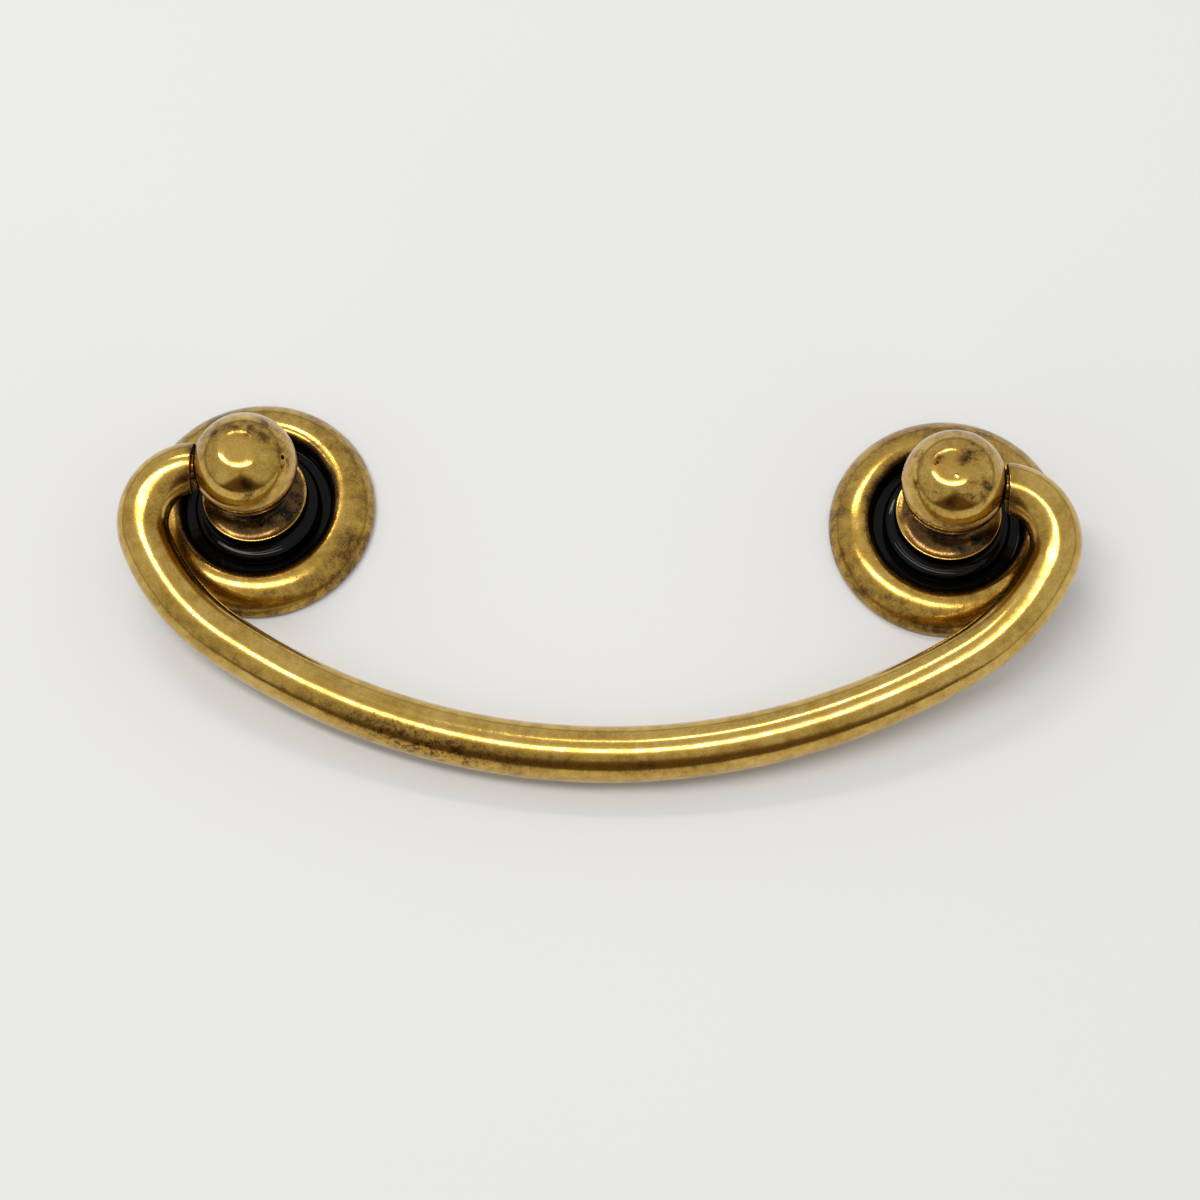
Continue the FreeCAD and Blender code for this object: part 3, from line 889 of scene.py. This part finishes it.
def bail_patina_and_painted_light(mesh, path, sizes):
    """Tone of the bail: patina all over, darker at the ends by the pivots and inside the end bends, and a
    painted dark reflection along the viewer's side of the grip.
    """
    places = vertex_values(mesh.vertices, "co")
    outwards = np.abs(places[:, 0])
    at_pivot = np.clip((places[:, 1] + PIVOT_REACH) / PIVOT_BLEND, 0, 1)
    near_face = np.clip((path.shoulder_x + END_REACH - outwards) / END_REACH, 0, 1)
    end_axis = path.pieces[-1][0]
    from_axis = np.hypot(outwards - end_axis.x, places[:, 1] + end_axis.y)
    in_bend = np.clip((sizes.end_bend - from_axis) / sizes.end, 0, 1)
    # The last term paints a dark reflection along the grip's viewer-facing flank
    return GRIP_TONE + END_TONE * near_face * at_pivot + BEND_TONE * in_bend + marked(mesh, *PAINTED_DARK_REFLECTION)


def marked(mesh, middle, reach, side, narrowness, tone):
    """How strongly each place of the bail is marked on one stretch of one of its sides."""
    places = vertex_values(mesh.vertices, "co")
    normals = vertex_values(mesh.vertex_normals, "vector")
    along = np.exp(-((places[:, 0] - middle) / reach) ** 2)
    across = np.clip(normals @ np.array(side), 0, 1) ** narrowness
    return tone * along * across


# Stage

FLOOR_SIZE = 4.0
FLOOR_CLOUDS = (9, 2, 0.5)
FLOOR_CLOUDINESS = 0.03
FLOOR_ROUGHNESS = 0.85
FLOOR_SHEEN = 0.1

# Heights at which the room's light begins and is full, and the same for the dim wedge on the viewer's side
HORIZON_BAND = (0.02, 0.16)
WEDGE_EDGE = (-0.11, 0.15)
VIEWER_SLOPE = 1.07

# Each lamp: name, direction towards it, distance, length, width, turn of its length in degrees and radiance
LAMPS = (
    ("near lamp", (-0.20, -0.07, 0.98), 1.20, 1.10, 0.20, -22, 11.5),
    ("far lamp", (-0.24, 0.52, 0.83), 0.60, 0.24, 0.05, 0, 16.0),
)
LAMP_COLOUR = (1.0, 0.99, 0.97)

CAMERA_PLACE = (14.31 * MM, -137.80 * MM, 303.42 * MM)
CAMERA_TURNS = (-22.924, -2.442, -1.55)
CAMERA_LENS = 90
CAMERA_SENSOR = 36
CAMERA_NEAR = 0.01


def floor_material(tone):
    """Pale matt floor with faint clouds."""
    material = bpy.data.materials.new("pale floor")
    material.use_nodes = True
    nodes = Nodes(material.node_tree)
    nodes.tree.nodes.clear()
    place = nodes.add("ShaderNodeTexCoord").outputs["Object"]
    cloud = nodes.centred(nodes.noise(place, *FLOOR_CLOUDS), FLOOR_CLOUDINESS)
    value = nodes.sum("ADD", cloud, 1.0)
    shift = nodes.add("ShaderNodeHueSaturation", {"Color": solid(tone), "Value": value})
    shader = nodes.add("ShaderNodeBsdfPrincipled", {
        "Base Color": shift.outputs["Color"],
        "Roughness": FLOOR_ROUGHNESS,
        "Specular IOR Level": FLOOR_SHEEN,
    })
    output = nodes.add("ShaderNodeOutputMaterial")
    nodes.tree.links.new(shader.outputs["BSDF"], output.inputs["Surface"])
    return material


def make_floor(look):
    half = FLOOR_SIZE / 2
    mesh = bpy.data.meshes.new("floor")
    corners = [(-half, -half), (half, -half), (half, half), (-half, half)]
    mesh.from_pydata([(x, y, FLOOR_HEIGHT) for x, y in corners], [], [(0, 1, 2, 3)])
    mesh.materials.append(floor_material(look.floor))
    put_in_scene("floor", mesh)


def make_room(look):
    """Soft light from all round, dim in a wedge that rises from the floor on the viewer's side."""
    world = bpy.data.worlds.new("room")
    world.use_nodes = True
    nodes = Nodes(world.node_tree)
    nodes.tree.nodes.clear()
    way = nodes.add("ShaderNodeTexCoord").outputs["Generated"]
    parts = nodes.add("ShaderNodeSeparateXYZ", {0: way}).outputs
    above_horizon = nodes.fade(parts["Z"], *HORIZON_BAND, look.horizon, 1.0)
    sideways = nodes.sum("ADD", nodes.sum("ABSOLUTE", parts["X"], 0.0), parts["Y"])
    outside = nodes.sum("ADD", nodes.sum("MULTIPLY", parts["Z"], VIEWER_SLOPE), sideways)
    tone = nodes.ramp(nodes.fade(outside, *WEDGE_EDGE), ((0.0, look.front), (1.0, (1, 1, 1))))
    level = nodes.sum("MULTIPLY", above_horizon, look.room)
    shader = nodes.add("ShaderNodeBackground", {"Color": tone, "Strength": level})
    output = nodes.add("ShaderNodeOutputWorld")
    nodes.tree.links.new(shader.outputs["Background"], output.inputs["Surface"])
    bpy.context.scene.world = world


def make_lamps():
    """Oval lamps that face the middle of the pull."""
    for name, direction, distance, long_side, short_side, turn, radiance in LAMPS:
        lamp = bpy.data.lights.new(name, "AREA")
        lamp.shape = "ELLIPSE"
        lamp.size = long_side
        lamp.size_y = short_side
        lamp.energy = radiance * math.pi * long_side * short_side * math.pi / 4
        lamp.color = LAMP_COLOUR
        way = Vector(direction).normalized()
        along = Vector((math.cos(math.radians(turn)), math.sin(math.radians(turn)), 0))
        along = (along - way * along.dot(way)).normalized()
        facing = Matrix((along, way.cross(along), way)).transposed()
        put_in_scene(name, lamp).matrix_world = Matrix.Translation(way * distance) @ facing.to_4x4()


def make_camera():
    """Camera at the place worked out from the photo."""
    tilt, pan, roll = (math.radians(turn) for turn in CAMERA_TURNS)
    to_camera = Matrix.Rotation(roll, 3, "Z") @ Matrix.Rotation(pan, 3, "Y") @ Matrix.Rotation(tilt, 3, "X")
    camera = bpy.data.cameras.new("camera")
    camera.sensor_fit = "HORIZONTAL"
    camera.sensor_width = CAMERA_SENSOR
    camera.lens = CAMERA_LENS
    camera.clip_start = CAMERA_NEAR
    holder = put_in_scene("camera", camera)
    holder.matrix_world = Matrix.Translation(CAMERA_PLACE) @ to_camera.transposed().to_4x4()
    bpy.context.scene.camera = holder


class BAILPULL_OT_stage(bpy.types.Operator):
    """Set up the floor, the light and the camera"""
    bl_idname = "bailpull.stage"
    bl_label = "Make stage"

    def execute(self, context):
        look = settings().stage
        context.scene.view_settings.view_transform = "Standard"
        make_floor(look)
        make_room(look)
        make_lamps()
        make_camera()
        return {"FINISHED"}


class BailPullSettings(bpy.types.PropertyGroup):
    """All settings of the pull"""
    rosettes: bpy.props.PointerProperty(type=RosetteSizes, name="Rosettes", description="Pressed rosettes")
    posts: bpy.props.PointerProperty(type=PostSizes, name="Posts", description="Turned posts")
    bail: bpy.props.PointerProperty(type=BailSizes, name="Bail", description="Bent bail")
    finish: bpy.props.PointerProperty(type=BrassFinish, name="Finish", description="Antique brass")
    stage: bpy.props.PointerProperty(type=StageLook, name="Stage", description="Floor and light")


OPERATORS = (BAILPULL_OT_rosettes, BAILPULL_OT_posts, BAILPULL_OT_bail, BAILPULL_OT_stage)


class BAILPULL_PT_panel(bpy.types.Panel):
    """Lists the pull's operators and sizes"""
    bl_idname = "BAILPULL_PT_panel"
    bl_label = "Bail pull"
    bl_space_type = "VIEW_3D"
    bl_region_type = "UI"
    bl_category = "Bail pull"

    def draw(self, context):
        for operator in OPERATORS:
            self.layout.operator(operator.bl_idname)
        for group_name in settings().bl_rna.properties.keys():
            group = getattr(settings(), group_name)
            if not isinstance(group, bpy.types.PropertyGroup):
                continue
            box = self.layout.box()
            box.label(text=settings().bl_rna.properties[group_name].name)
            for item in group.bl_rna.properties:
                if item.identifier not in ("rna_type", "name"):
                    box.prop(group, item.identifier)


CLASSES = (
    RosetteSizes, PostSizes, BailSizes, BrassFinish, StageLook, BailPullSettings,
    *OPERATORS, BAILPULL_PT_panel)


def register():
    for item in CLASSES:
        bpy.utils.register_class(item)
    bpy.types.Scene.bail_pull = bpy.props.PointerProperty(type=BailPullSettings)


def unregister():
    del bpy.types.Scene.bail_pull
    for item in reversed(CLASSES):
        bpy.utils.unregister_class(item)


def main():
    register()
    bpy.ops.bailpull.rosettes()
    bpy.ops.bailpull.posts()
    bpy.ops.bailpull.bail()
    bpy.ops.bailpull.stage()


if __name__ == "__main__":
    main()
